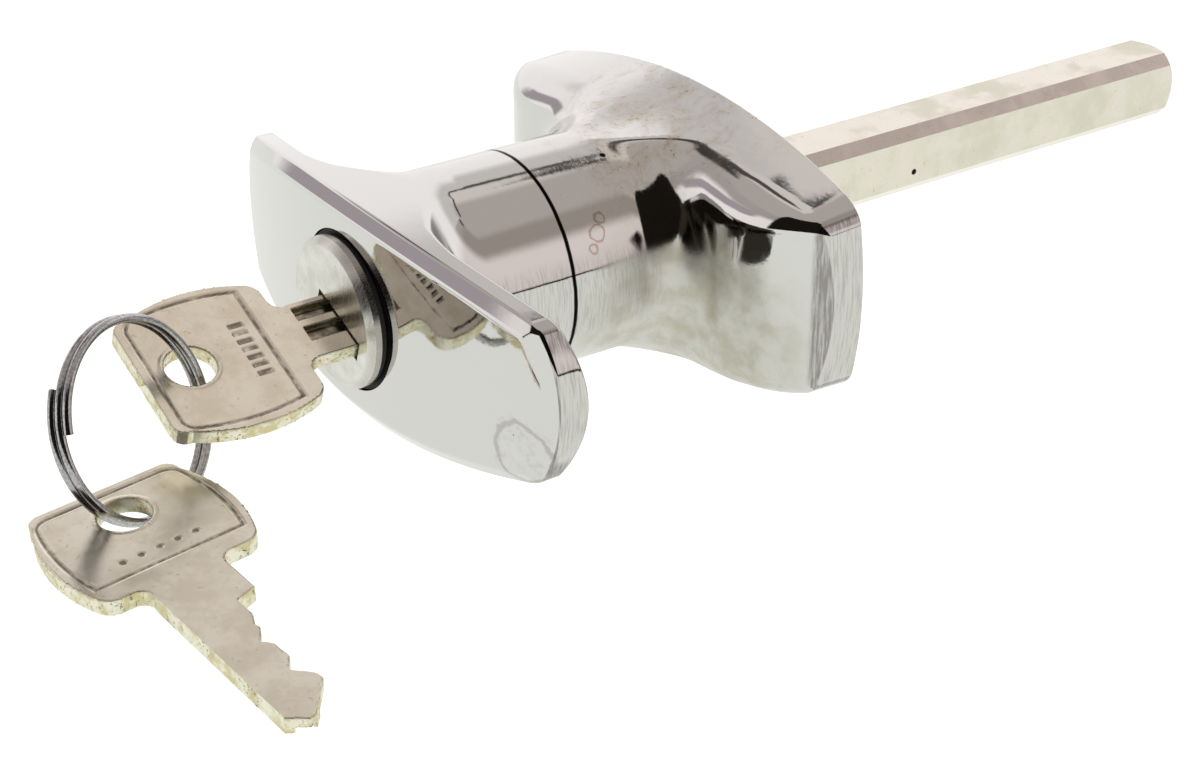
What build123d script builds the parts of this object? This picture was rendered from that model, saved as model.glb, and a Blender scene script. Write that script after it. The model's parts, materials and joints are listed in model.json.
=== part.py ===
from build123d import *
import math
import os

# Locking T-handle: chrome grip and rose, square spindle, wafer lock, two keys on a split ring.
# Millimetres, +Z up, origin at the centre of the rose's back face. The spindle runs along +Y,
# the grip and its lock face are on the -Y side, and the grip's long axis is X.

# Main sizes
SPINDLE_SIDE = 9.525           # 3/8 inch square bar
SPINDLE_END_Y = 84.7
SPINDLE_FRONT_Y = -20.2
NECK_RADIUS = 14.05
PARTING_Y = -28.0
PARTING_GAP = 0.15

# Rose
ROSE_HALF_LENGTH = 33.65       # at mid height
ROSE_END_CORNER_X = 32.1       # where the end wall meets the ridges
ROSE_END_CORNER_Z = 12.0
ROSE_HALF_HEIGHT = 17.7        # at the back face
ROSE_BACK_FALL = 0.00568       # fall of the back outline per x squared
ROSE_NECK_RISE = 3.65          # how far the top sweeps up between neck and back face
ROSE_SWEEP_LENGTH = 18.0
ROSE_FRONT_DEPTH = 11.8        # back face to the front of a wing, near the neck
ROSE_NOSE_RADIUS = 15.5        # plan radius of a wing's rounded front
ROSE_NOSE_REACH = 34.3
ROSE_FLARE_RADIUS = 6.0
ROSE_RIDGE_RADIUS = 1.3
FLARE_OUT = NECK_RADIUS + ROSE_FLARE_RADIUS
ROSE_BOSS_RADIUS = 14.4
POCKET_DEPTH = 7.0

# Fixing screws in the rose's back
SCREW_SPACING = 50.0
SCREW_HOLE_RADIUS = 2.5
INSERT_RADIUS = 3.6
INSERT_DEPTH = 6.5

# Grip
GRIP_RIDGE_Y = -50.3           # ridge between the bevel and the long side, at the middle
GRIP_RIDGE_BOW = 0.00419       # set-back of the ridge per x squared
GRIP_HALF_HEIGHT = 14.0
GRIP_HEIGHT_FALL = 0.00379     # loss of half height per x squared
GRIP_BEVEL_DEPTH = 1.2
GRIP_BEVEL_HEIGHT = 1.7
GRIP_EDGE = 2.4                # thickness of the wing along its long sides
GRIP_CROWN = 1.5               # extra thickness at mid height
GRIP_HALF_LENGTH = 36.0
GRIP_END_CORNER_X = 32.9
GRIP_END_CORNER_Z = 10.0
GRIP_FLARE_RADIUS = 8.6
GRIP_NECK_TOP_Y = -39.0        # where the straight neck ends and the flare begins

# Hub that turns inside the rose
HUB_FRONT_RADIUS = 10.6
HUB_STEP_Y = -20.0
HUB_RADIUS = 9.0
HUB_END_Y = -3.2
HUB_BORE_RADIUS = 8.2
HUB_FLOOR_Y = -21.6
RUNNING_GAP = 0.05
BUSH_RADIUS = 10.5
WASHER_SEAT_Y = -6.8
WASHER_RADIUS = 12.2
BOLT_NOTCH_Y = (-24.3, -21.5)
NOTCH_RADIUS = 12.7

# Hub hardware
CLIP_GROOVE_RADIUS = 8.2
CLIP_GROOVE_Y = (-4.9, -3.8)
SPINDLE_PIN_Y = -13.0
SPINDLE_PIN_RADIUS = 1.5
SPINDLE_CHAMFER = 1.49
DOWEL_RADIUS = 0.8
DOWEL_ORBIT = 8.97
DOWEL_Y = (-33.0, -29.6)

# Lock
LOCK_BORE_RADIUS = 10.0
LOCK_BORE_FLOOR_Y = -31.0
HOUSING_RADIUS = 9.9
PLUG_RADIUS = 8.0
FACE_RADIUS = 9.4
FACE_FRONT_Y = -53.5
FACE_BACK_Y = -51.9
HOUSING_FRONT_Y = -51.1
PLUG_BACK_Y = -26.0
KEYWAY_ANGLE = 21.0            # keyway below horizontal with the key as it stands
KEYWAY_TRAVEL = 90.0
WAFER_COUNT = 5
WAFER_THICK = 1.2
WAFER_PITCH = 3.6
WAFER_FIRST_Y = -48.3

TAIL_HALF = 2.3
TAIL_END_Y = -24.3
CAM_SCREW_RADIUS = 1.2
CAM_BACK_Y = -24.2

# Spiral drive of the lock bolt
PIN_ORBIT = 4.73               # bolt pin's distance from the axis as the lock stands
BOLT_LIFT_PER_RADIAN = 2.7 / math.radians(KEYWAY_TRAVEL)
BOLT_PIN_RADIUS = 0.8
BOLT_WIDTH = 4.0
BOLT_REACH = 10.3
BOLT_SLOT_Y = (-24.0, -21.7)
TRACK_HALF = 0.95

# Keys
KEY_THICK = 2.1
HEAD_LENGTH = 18.7
HEAD_HALF_END = 9.1
HEAD_HALF_MIDDLE = 10.9
HEAD_HALF_SHOULDER = 9.7
KEY_HOLE_RADIUS = 3.0
KEY_HOLE_U = 5.9
BLADE_HALF = 4.4
BLADE_SHIFT = -0.32
FIRST_CUT_U = 25.4             # head end to the first cut
KEY_HEAD_END_Y = -78.75
SHOULDER_FILLET = 1.6
PANEL_DEPTH = 0.15
WARD_GROOVES = ((-3.9, -2.1), (-0.8, 1.3))
WARD_DEPTH = 0.85
KEY_ACROSS = 2.36              # head centre's distance from the lock axis, across the blade

# Split ring
RING_RADIUS = 11.2
WIRE_RADIUS = 0.5
RING_PITCH = 1.12
RING_TURNS = 2.07
RING_CENTRE = (8.06, -82.34, -1.34)
RING_NORMAL = (0.829, 0.453, 0.329)
RING_START = (0.16, -0.85, 0.72)     # from the ring's centre to the first cut end

# Spare key, hanging on the ring
SPARE_ORIGIN = (8.42, -87.53, -9.24)
SPARE_TILT = (3.15, 2.82, 4.28)

os.makedirs("parts", exist_ok=True)


def rod(radius, front, back):
    """Cylinder about the spindle axis between two y positions."""
    return Pos(0, (front + back) / 2, 0) * Rot(90, 0, 0) * Cylinder(radius, back - front)


def tube(outer, inner, front, back):
    return rod(outer, front, back) - rod(inner, front - 1, back + 1)


def block(x_range, y_range, z_range):
    """Box between three pairs of limits."""
    size = [high - low for low, high in (x_range, y_range, z_range)]
    middle = [(high + low) / 2 for low, high in (x_range, y_range, z_range)]
    return Pos(*middle) * Box(*size)


def turned(*profile):
    """Solid of revolution about the spindle axis from (radius, y) points."""
    face = make_face(Plane.XY * Polyline(*profile, close=True))
    return revolve(face, Axis.Y, 360)


def lens(half_length, corner_x, corner_z, half_height, front, back):
    """Boat-shaped prism along y: two long arcs, two end arcs."""
    outline = Curve() + [
        ThreePointArc((-corner_x, corner_z), (0, half_height), (corner_x, corner_z)),
        ThreePointArc((corner_x, corner_z), (half_length, 0), (corner_x, -corner_z)),
        ThreePointArc((corner_x, -corner_z), (0, -half_height), (-corner_x, -corner_z)),
        ThreePointArc((-corner_x, -corner_z), (-half_length, 0), (-corner_x, corner_z)),
    ]
    face = make_face(Plane.XZ * outline)
    return Pos(0, back, 0) * extrude(face, back - front, dir=(0, -1, 0))


def key_frame():
    """Keyway directions: along the key into the lock, and across it towards the cuts."""
    angle = math.radians(KEYWAY_ANGLE)
    return Vector(0, 1, 0), Vector(math.cos(angle), 0, -math.sin(angle))


def keyway_block(across, thick, front, back):
    """Box inside the plug, given by its range across the blade and through its thickness."""
    return Rot(0, KEYWAY_ANGLE, 0) * block(across, (front, back), thick)


# ---------------------------------------------------------------- rose

def rose_top(x, y):
    """Height of the rose's long side above the axis."""
    back_height = ROSE_HALF_HEIGHT - ROSE_BACK_FALL * x * x
    depth = min(-y, ROSE_SWEEP_LENGTH)
    sweep = 1 - (1 - depth / ROSE_SWEEP_LENGTH) ** 2
    soft_x = math.sqrt(x * x + 9.0) - 3.0
    return back_height - ROSE_NECK_RISE * (1 - soft_x / 34.4) * sweep


def rose_side_surface():
    """Swept long side of the rose, above the axis."""
    xs = [-38 + 2 * i for i in range(39)]
    ys = [-30 + 2 * j for j in range(16)] + [1]
    grid = [[Vector(x, y, rose_top(x, min(y, 0))) for y in ys] for x in xs]
    return Face.make_surface_from_array_of_points(grid)


def wing_prism():
    """Slab between the back face and the wings' front: flat near the neck, rounded to the tips."""
    reach = ROSE_NOSE_REACH - FLARE_OUT
    nose_fall = ROSE_NOSE_RADIUS - math.sqrt(ROSE_NOSE_RADIUS ** 2 - reach ** 2)
    flat_end = (FLARE_OUT, -ROSE_FRONT_DEPTH)
    right_nose = TangentArc(flat_end, (ROSE_NOSE_REACH, nose_fall - ROSE_FRONT_DEPTH), tangent=(1, 0))
    left_nose = mirror(right_nose, Plane.YZ)
    flat = Line(left_nose @ 0, right_nose @ 0)
    back = Polyline(right_nose @ 1, (ROSE_NOSE_REACH, 0), (-ROSE_NOSE_REACH, 0), left_nose @ 1)
    face = make_face(Plane.XY * (Curve() + [right_nose, flat, left_nose, back]))
    return Pos(0, 0, -20) * extrude(face, 40, dir=(0, 0, 1))


def rose_flare():
    """Neck end and the concave flare that spreads it into the wings."""
    flare_start = -ROSE_FRONT_DEPTH - ROSE_FLARE_RADIUS
    middle = ROSE_FLARE_RADIUS * math.sqrt(0.5)
    arc = ThreePointArc((NECK_RADIUS, flare_start),
                        (FLARE_OUT - middle, flare_start + middle),
                        (FLARE_OUT, -ROSE_FRONT_DEPTH))
    rest = Polyline(arc @ 1, (FLARE_OUT, -6), (0, -6), (0, flare_start), arc @ 0)
    return Rot(0, 45, 0) * revolve(make_face(Plane.XY * (Curve() + [arc, rest])), Axis.Y, 360)


def rose_outside():
    """Outer form of the rose, with its ridges rounded."""
    above = extrude(rose_side_surface(), 20, dir=(0, 0, 1))
    body = wing_prism() + rose_flare()
    body = body - above - mirror(above, Plane.XY)
    body = body & lens(ROSE_HALF_LENGTH, ROSE_END_CORNER_X, ROSE_END_CORNER_Z, 60, -30, 0)
    body = body + rod(NECK_RADIUS, PARTING_Y + PARTING_GAP / 2, -ROSE_FRONT_DEPTH)
    return fillet(front_ridges(body), ROSE_RIDGE_RADIUS)


def front_ridges(body):
    """Edges along the wings' long sides, between the sides and the flared front."""
    ridges = []
    for edge in body.edges():
        box = edge.bounding_box()
        if box.max.Y < -0.5 and abs(box.center().Z) > 10 and box.size.X > 1:
            ridges.append(edge)
    return ridges


def rose_pockets():
    """Hollows behind the wings that keep the casting's wall even, clear of the screw bosses."""
    hollow = lens(28.5, 27.5, 8.5, 12.2, -POCKET_DEPTH, 1)
    hollow = hollow - rod(ROSE_BOSS_RADIUS, -30, 2)
    for side in (-1, 1):
        hollow = hollow - Pos(side * SCREW_SPACING / 2, 0, 0) * rod(INSERT_RADIUS + 2.0, -30, 2)
    return hollow


def make_rose():
    rose = rose_outside() - rose_pockets()
    rose = rose - rod(HUB_FRONT_RADIUS + 0.1, PARTING_Y - 1, HUB_STEP_Y + 0.4)
    rose = rose - rod(BUSH_RADIUS, HUB_STEP_Y, WASHER_SEAT_Y + 1)
    rose = rose - rod(WASHER_RADIUS + 0.4, WASHER_SEAT_Y, 1)
    for turn in range(4):
        notch = block((-2.3, 2.3), BOLT_NOTCH_Y, (-NOTCH_RADIUS, 0))
        rose = rose - Rot(0, 90 * turn, 0) * notch
    for side in (-1, 1):
        rose = rose - Pos(side * SCREW_SPACING / 2, 0, 0) * rod(INSERT_RADIUS, -INSERT_DEPTH, 1)
    return rose


def make_screw_inserts():
    """Two tapped bushes in the rose's back for the fixing screws."""
    one = tube(INSERT_RADIUS, SCREW_HOLE_RADIUS, -INSERT_DEPTH, 0)
    return [Pos(side * SCREW_SPACING / 2, 0, 0) * one for side in (-1, 1)]


# ---------------------------------------------------------------- grip

def ridge_y(x):
    return GRIP_RIDGE_Y + GRIP_RIDGE_BOW * x * x


def ridge_z(x):
    return GRIP_HALF_HEIGHT - GRIP_HEIGHT_FALL * x * x


def wing_section(x):
    """Closed section of the grip across its long axis: flat front, bevels, crowned back."""
    y = ridge_y(x)
    z = ridge_z(x)
    face_y = y - GRIP_BEVEL_DEPTH
    face_z = z - GRIP_BEVEL_HEIGHT
    back_y = y + GRIP_EDGE
    top = Polyline((x, face_y, -face_z), (x, face_y, face_z), (x, y, z), (x, back_y, z))
    crown = ThreePointArc(top @ 1, (x, back_y + GRIP_CROWN, 0), (x, back_y, -z))
    bottom = Polyline(crown @ 1, (x, y, -z), top @ 0)
    return Wire(top.edges() + crown.edges() + bottom.edges())


def grip_flare():
    """Concave flare from the back of the wings down to the straight neck."""
    flare_out = NECK_RADIUS + GRIP_FLARE_RADIUS
    flare_top = GRIP_NECK_TOP_Y - GRIP_FLARE_RADIUS
    middle = GRIP_FLARE_RADIUS * math.sqrt(0.5)
    arc = ThreePointArc((NECK_RADIUS, GRIP_NECK_TOP_Y),
                        (flare_out - middle, GRIP_NECK_TOP_Y - middle),
                        (flare_out, flare_top))
    rest = Polyline(arc @ 1, (flare_out, flare_top - 0.6), (0, flare_top - 0.6), (0, GRIP_NECK_TOP_Y), arc @ 0)
    return Rot(0, 45, 0) * revolve(make_face(Plane.XY * (Curve() + [arc, rest])), Axis.Y, 360)


def grip_outline():
    """Prism along y with the grip's front-view outline."""
    xs = [-36 + 6 * i for i in range(13)]
    top = Spline(*[(x, ridge_z(x)) for x in xs])
    bottom = Spline(*[(x, -ridge_z(x)) for x in reversed(xs)])
    sides = [Line(top @ 1, bottom @ 0), Line(bottom @ 1, top @ 0)]
    face = make_face(Plane.XZ * (Curve() + [top, bottom] + sides))
    return Pos(0, PARTING_Y, 0) * extrude(face, 40, dir=(0, -1, 0))


def grip_outside():
    wings = Solid.make_loft([wing_section(-36 + 6 * i) for i in range(13)])
    body = wings + (grip_flare() & grip_outline())
    body = body & lens(GRIP_HALF_LENGTH, GRIP_END_CORNER_X, GRIP_END_CORNER_Z, 60, -60, -20)
    neck_end = PARTING_Y - PARTING_GAP / 2
    return body + rod(NECK_RADIUS, GRIP_NECK_TOP_Y, neck_end)


def make_grip():
    """Grip with the lock's bore in its face and the hub that turns inside the rose."""
    grip = grip_outside() + rod(HUB_FRONT_RADIUS, PARTING_Y - 4, HUB_STEP_Y)
    grip = grip + rod(HUB_RADIUS, HUB_STEP_Y - 1, HUB_END_Y)
    grip = grip - rod(LOCK_BORE_RADIUS, -60, LOCK_BORE_FLOOR_Y)
    grip = grip - rod(HUB_BORE_RADIUS, LOCK_BORE_FLOOR_Y - 1, HUB_FLOOR_Y)
    half = SPINDLE_SIDE / 2 + 0.04
    grip = grip - block((-half, half), (SPINDLE_FRONT_Y - 0.1, 0), (-half, half))
    grip = grip - block((-BOLT_WIDTH / 2 - 0.05, BOLT_WIDTH / 2 + 0.05), BOLT_SLOT_Y, (-12, -6))
    grip = grip - tube(HUB_RADIUS + 2, CLIP_GROOVE_RADIUS, *CLIP_GROOVE_Y)
    grip = grip - Pos(DOWEL_ORBIT, 0, 0) * rod(DOWEL_RADIUS, LOCK_BORE_FLOOR_Y - 1, DOWEL_Y[1])
    return grip - Pos(0, SPINDLE_PIN_Y, 0) * Rot(0, 90, 0) * Cylinder(SPINDLE_PIN_RADIUS, 30)


# ---------------------------------------------------------------- spindle and hub hardware

def make_spindle():
    """Square bar with broken long edges and a turned tail end."""
    length = SPINDLE_END_Y - SPINDLE_FRONT_Y
    bar = Pos(0, SPINDLE_FRONT_Y + length / 2, 0) * Box(SPINDLE_SIDE, length, SPINDLE_SIDE)
    bar = chamfer(bar.edges().filter_by(Axis.Y), SPINDLE_CHAMFER)
    tail = turned((0, SPINDLE_FRONT_Y), (8, SPINDLE_FRONT_Y), (8, SPINDLE_END_Y - 3.0),
                  (4.3, SPINDLE_END_Y), (0, SPINDLE_END_Y))
    bar = bar & tail
    return bar - Pos(0, SPINDLE_PIN_Y, 0) * Rot(0, 90, 0) * Cylinder(SPINDLE_PIN_RADIUS, 30)


def make_spindle_pin():
    return Pos(0, SPINDLE_PIN_Y, 0) * Rot(0, 90, 0) * Cylinder(SPINDLE_PIN_RADIUS, 2 * HUB_RADIUS - 0.6)


def make_bush():
    return tube(BUSH_RADIUS, HUB_RADIUS + RUNNING_GAP, HUB_STEP_Y + 0.5, WASHER_SEAT_Y - 0.1)


def make_dished_washer():
    """Conical spring washer that takes up the end play."""
    inner = HUB_RADIUS + 0.2
    front = WASHER_SEAT_Y + 0.05
    return turned((inner, front + 0.5), (WASHER_RADIUS, front), (WASHER_RADIUS, front + 0.4),
                  (inner, front + 0.9))


def make_thrust_washer():
    return tube(WASHER_RADIUS, HUB_RADIUS + 0.2, CLIP_GROOVE_Y[0] - 0.85, CLIP_GROOVE_Y[0] - 0.05)


def make_circlip():
    """Open retaining ring with two eyes for pliers."""
    front = CLIP_GROOVE_Y[0] + 0.05
    back = CLIP_GROOVE_Y[1] - 0.05
    ring = tube(HUB_RADIUS + 1.3, CLIP_GROOVE_RADIUS + 0.05, front, back)
    gap = block((-1.6, 1.6), (front - 1, back + 1), (0, 15))
    ring = ring - gap
    for side in (-1, 1):
        eye = Pos(side * 3.0, 0, 10.3) * tube(1.5, 0.6, front, back)
        ring = ring + (eye - rod(HUB_RADIUS + 0.05, front - 1, back + 1))
    return ring


# ---------------------------------------------------------------- lock

def make_housing():
    """Brass sleeve fixed in the grip; its long grooves catch the wafers when the key is out."""
    sleeve = tube(HOUSING_RADIUS, PLUG_RADIUS + RUNNING_GAP, HOUSING_FRONT_Y, LOCK_BORE_FLOOR_Y - 0.05)
    grooves = block((-3.8, 3.8), (WAFER_FIRST_Y - 1.5, LOCK_BORE_FLOOR_Y - 1.4), (-9.2, 9.2))
    sleeve = sleeve - grooves
    return sleeve - Pos(DOWEL_ORBIT, 0, 0) * rod(DOWEL_RADIUS, DOWEL_Y[0], 0)


def make_housing_pin():
    return Pos(DOWEL_ORBIT, 0, 0) * rod(DOWEL_RADIUS - 0.01, DOWEL_Y[0] + 0.05, DOWEL_Y[1] - 0.05)


def wafer_positions():
    return [WAFER_FIRST_Y + WAFER_PITCH * i for i in range(WAFER_COUNT)]


def make_plug():
    """Face disc and plug with keyway, wafer slots and the square tail for the cam."""
    plug = turned((0, FACE_FRONT_Y), (FACE_RADIUS - 0.8, FACE_FRONT_Y), (FACE_RADIUS, FACE_FRONT_Y + 0.8),
                  (FACE_RADIUS, FACE_BACK_Y), (PLUG_RADIUS, FACE_BACK_Y), (PLUG_RADIUS, PLUG_BACK_Y),
                  (0, PLUG_BACK_Y))
    tail = keyway_block((-TAIL_HALF, TAIL_HALF), (-TAIL_HALF, TAIL_HALF), PLUG_BACK_Y - 1, TAIL_END_Y)
    plug = plug + tail
    plug = plug - keyway_block((-2.5, 4.05), (-1.15, 1.15), FACE_FRONT_Y - 1, -26.9)
    plug = plug - keyway_block((-3.2, 6.8), (-1.35, 1.35), FACE_FRONT_Y - 1, FACE_FRONT_Y + 1.3)
    for y in wafer_positions():
        half = WAFER_THICK / 2 + 0.05
        plug = plug - keyway_block((-9, 9), (-3.5, 3.5), y - half, y + half)
        plug = plug - keyway_block((-3.2, 3.2), (3, 5.6), y - half, y + half)
    return plug - rod(CAM_SCREW_RADIUS, TAIL_END_Y - 3.0, TAIL_END_Y + 1)


def make_wafers():
    """One plate for each slot, with a window for the blade and a spur for its spring."""
    wafers = []
    for y in wafer_positions():
        half = WAFER_THICK / 2
        plate = keyway_block((-6.5, 6.5), (-3.4, 3.4), y - half, y + half)
        plate = plate + keyway_block((1.9, 2.9), (3, 5.3), y - half, y + half)
        wafers.append(plate - keyway_block((-2.6, 4.1), (-1.25, 1.25), y - half - 1, y + half + 1))
    return wafers


def make_wafer_springs():
    """Small coil springs between the wafers' spurs and the ends of their pockets."""
    springs = []
    for y in wafer_positions():
        coil = Helix(pitch=0.8, height=4.6, radius=0.38)
        wire = Plane(coil @ 0, z_dir=coil % 0) * Circle(0.11)
        spring = sweep(wire, path=coil)
        springs.append(Rot(0, KEYWAY_ANGLE, 0) * Pos(-2.95, y, 4.5) * Rot(0, 90, 0) * spring)
    return springs


def make_face_seal():
    return tube(FACE_RADIUS - 0.3, PLUG_RADIUS + RUNNING_GAP, FACE_BACK_Y + 0.05, HOUSING_FRONT_Y - 0.05)


def spiral_radius(angle):
    """Distance from the axis to the bolt pin's track, by the plug angle that brings it to the pin."""
    return PIN_ORBIT + BOLT_LIFT_PER_RADIAN * angle


def track_side(offset, steps=24):
    """Points along one side of the spiral track, offset square to its centreline."""
    first = math.radians(-KEYWAY_ANGLE) - 0.02
    last = first + math.radians(KEYWAY_TRAVEL) + 0.04
    points = []
    for i in range(steps + 1):
        turn = first + (last - first) * i / steps
        radius = spiral_radius(turn)
        slope = math.atan2(BOLT_LIFT_PER_RADIAN, radius)
        across = turn - slope
        points.append((radius * math.sin(turn) + offset * math.sin(across),
                       -radius * math.cos(turn) - offset * math.cos(across)))
    return points


def make_cam():
    """Disc on the plug's tail with a spiral track for the bolt's pin."""
    disc = rod(PLUG_RADIUS - 0.1, PLUG_BACK_Y + 0.05, CAM_BACK_Y)
    disc = disc - keyway_block((-TAIL_HALF, TAIL_HALF), (-TAIL_HALF, TAIL_HALF), -30, -20)
    outer = Spline(*track_side(TRACK_HALF))
    inner = Spline(*reversed(track_side(-TRACK_HALF)))
    ends = [Line(outer @ 1, inner @ 0), Line(inner @ 1, outer @ 0)]
    track = make_face(Plane.XZ * (Curve() + [outer, inner] + ends))
    track = Pos(0, -20, 0) * extrude(track, 10, dir=(0, -1, 0))
    for end in (0, -1):
        x = (track_side(TRACK_HALF)[end][0] + track_side(-TRACK_HALF)[end][0]) / 2
        z = (track_side(TRACK_HALF)[end][1] + track_side(-TRACK_HALF)[end][1]) / 2
        track = track + Pos(x, 0, z) * rod(TRACK_HALF, -30, -20)
    return disc - track


def make_cam_screw():
    """Pan-head screw with a cross recess."""
    head = rod(2.5, CAM_BACK_Y + 0.1, CAM_BACK_Y + 1.5)
    shank = rod(CAM_SCREW_RADIUS - 0.02, TAIL_END_Y - 2.7, CAM_BACK_Y + 0.3)
    recess = block((-1.2, 1.2), (CAM_BACK_Y + 0.8, 0), (-0.3, 0.3))
    return head + shank - recess - Rot(0, 90, 0) * recess


def make_bolt():
    """Radial bolt with the pin that rides in the cam's spiral track."""
    slide = block((-BOLT_WIDTH / 2, BOLT_WIDTH / 2), (BOLT_SLOT_Y[0] + 0.05, BOLT_SLOT_Y[1] - 0.05),
                  (-BOLT_REACH, -PIN_ORBIT + 1.2))
    pin = Pos(0, 0, -PIN_ORBIT) * rod(BOLT_PIN_RADIUS, PLUG_BACK_Y + 0.3, BOLT_SLOT_Y[0] + 0.5)
    return slide + pin


# ---------------------------------------------------------------- keys and ring

def head_side():
    """Upper half of the head's outline: u runs from the head's end towards the tip."""
    corner = 1.9
    turn = HEAD_LENGTH - 1.8
    return [
        Line((0, 0), (0, HEAD_HALF_END - corner)),
        ThreePointArc((0, HEAD_HALF_END - corner), (0.5, HEAD_HALF_END - 0.45), (corner, HEAD_HALF_END)),
        ThreePointArc((corner, HEAD_HALF_END), (9.8, HEAD_HALF_MIDDLE), (turn, HEAD_HALF_SHOULDER)),
        ThreePointArc((turn, HEAD_HALF_SHOULDER), (HEAD_LENGTH - 0.35, HEAD_HALF_SHOULDER - 1.0),
                      (HEAD_LENGTH, HEAD_HALF_SHOULDER - 2.5)),
    ]


def head_face():
    """Head seen flat, without the blade."""
    upper = head_side()
    lower = [mirror(edge, Plane.XZ) for edge in upper]
    closing = Line(upper[-1] @ 1, lower[-1] @ 1)
    return make_face(Curve() + upper + lower + [closing])


def blade_face():
    """Blade seen flat, with its cuts on the positive side and a blunt tip."""
    spine = BLADE_SHIFT - BLADE_HALF
    crest = BLADE_SHIFT + BLADE_HALF
    steps = [(0.5, 0.0), (0.75, 0.9), (1.2, 2.55), (3.2, 2.5), (4.3, 2.6), (5.7, 3.25), (6.4, 3.05),
             (7.4, 3.6), (8.4, 4.3), (9.5, 3.4), (12.3, 3.35), (13.7, 4.35), (14.2, 4.25), (16.0, 2.7),
             (17.1, 2.55), (17.7, 2.95), (21.4, 6.2), (21.5, 6.9)]
    cuts = [(FIRST_CUT_U + along, crest - drop) for along, drop in steps]
    outline = Polyline((HEAD_LENGTH - 6, spine), (HEAD_LENGTH - 6, crest), *cuts,
                       (FIRST_CUT_U + 19.9, spine), close=True)
    return make_face(outline)


def key_blank():
    """Flat key on the XY plane, thickness centred on z = 0."""
    flat = head_face() + blade_face()
    flat = flat - Pos(KEY_HOLE_U, 0) * Circle(KEY_HOLE_RADIUS)
    body = Pos(0, 0, -KEY_THICK / 2) * extrude(flat, KEY_THICK, dir=(0, 0, 1))
    inner = []
    for edge in body.edges().filter_by(Axis.Z):
        middle = edge @ 0.5
        if abs(middle.X - HEAD_LENGTH) < 0.2 and abs(middle.Y - BLADE_SHIFT) < BLADE_HALF + 0.3:
            inner.append(edge)
    return fillet(inner, SHOULDER_FILLET)


def panel_face():
    """Sunk panel inside the head's raised border."""
    border = 1.5
    half_end = HEAD_HALF_END - border
    half_far = HEAD_HALF_SHOULDER - border
    far = HEAD_LENGTH - 1.9
    top = ThreePointArc((border, half_end), (9.5, HEAD_HALF_MIDDLE - border), (far, half_far))
    bottom = ThreePointArc((far, -half_far), (9.5, border - HEAD_HALF_MIDDLE), (border, -half_end))
    return make_face(Curve() + [top, Line(top @ 1, bottom @ 0), bottom, Line(bottom @ 1, top @ 0)])


def key_solid():
    """Finished key: sunk head panels on both faces, two warding grooves on one face."""
    key = key_blank()
    for side in (-1, 1):
        panel = extrude(panel_face(), 1, dir=(0, 0, 1))
        low = KEY_THICK / 2 - PANEL_DEPTH if side > 0 else -KEY_THICK / 2 + PANEL_DEPTH - 1
        key = key - Pos(0, 0, low) * panel
    for low, high in WARD_GROOVES:
        start = HEAD_LENGTH + 2.0
        key = key - block((start, 60), (low, high), (-KEY_THICK, -KEY_THICK / 2 + WARD_DEPTH))
    return key


def place_key(origin, along, across):
    """Location that lays the flat key along two directions."""
    return Location(Plane(origin, x_dir=along, z_dir=along.cross(across)))


def make_key_in_lock():
    along, across = key_frame()
    origin = across * KEY_ACROSS + Vector(0, KEY_HEAD_END_Y, 0)
    return place_key(origin, along, across) * key_solid()


def make_spare_key():
    return Location(SPARE_ORIGIN, SPARE_TILT) * key_solid()


def make_split_ring():
    """Two close turns of round wire with square-cut ends."""
    height = RING_PITCH * RING_TURNS
    coil = Helix(pitch=RING_PITCH, height=height, radius=RING_RADIUS)
    wire = Plane(coil @ 0, z_dir=coil % 0) * Circle(WIRE_RADIUS)
    ring = Pos(0, 0, -height / 2) * sweep(wire, path=coil)
    return Location(Plane(RING_CENTRE, x_dir=RING_START, z_dir=RING_NORMAL)) * ring


NODES = {
    "rose": make_rose,
    "screw_inserts": make_screw_inserts,
    "hub_bush": make_bush,
    "t_grip": make_grip,
    "spindle": make_spindle,
    "spindle_pin": make_spindle_pin,
    "dished_washer": make_dished_washer,
    "thrust_washer": make_thrust_washer,
    "hub_circlip": make_circlip,
    "lock_housing": make_housing,
    "housing_pin": make_housing_pin,
    "lock_plug": make_plug,
    "plug_face_seal": make_face_seal,
    "lock_wafers": make_wafers,
    "wafer_springs": make_wafer_springs,
    "plug_cam": make_cam,
    "cam_screw": make_cam_screw,
    "lock_bolt": make_bolt,
    "key_in_lock": make_key_in_lock,
    "spare_key": make_spare_key,
    "split_ring": make_split_ring,
}

for name, make in NODES.items():
    made = make()
    pieces = made if isinstance(made, list) else [made]
    solids = [solid for piece in pieces for solid in piece.solids()]
    export_step(Compound(solids), f"parts/{name}.step")
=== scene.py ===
import json
import math

import bpy
import numpy as np
from mathutils import Matrix, Vector


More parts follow.
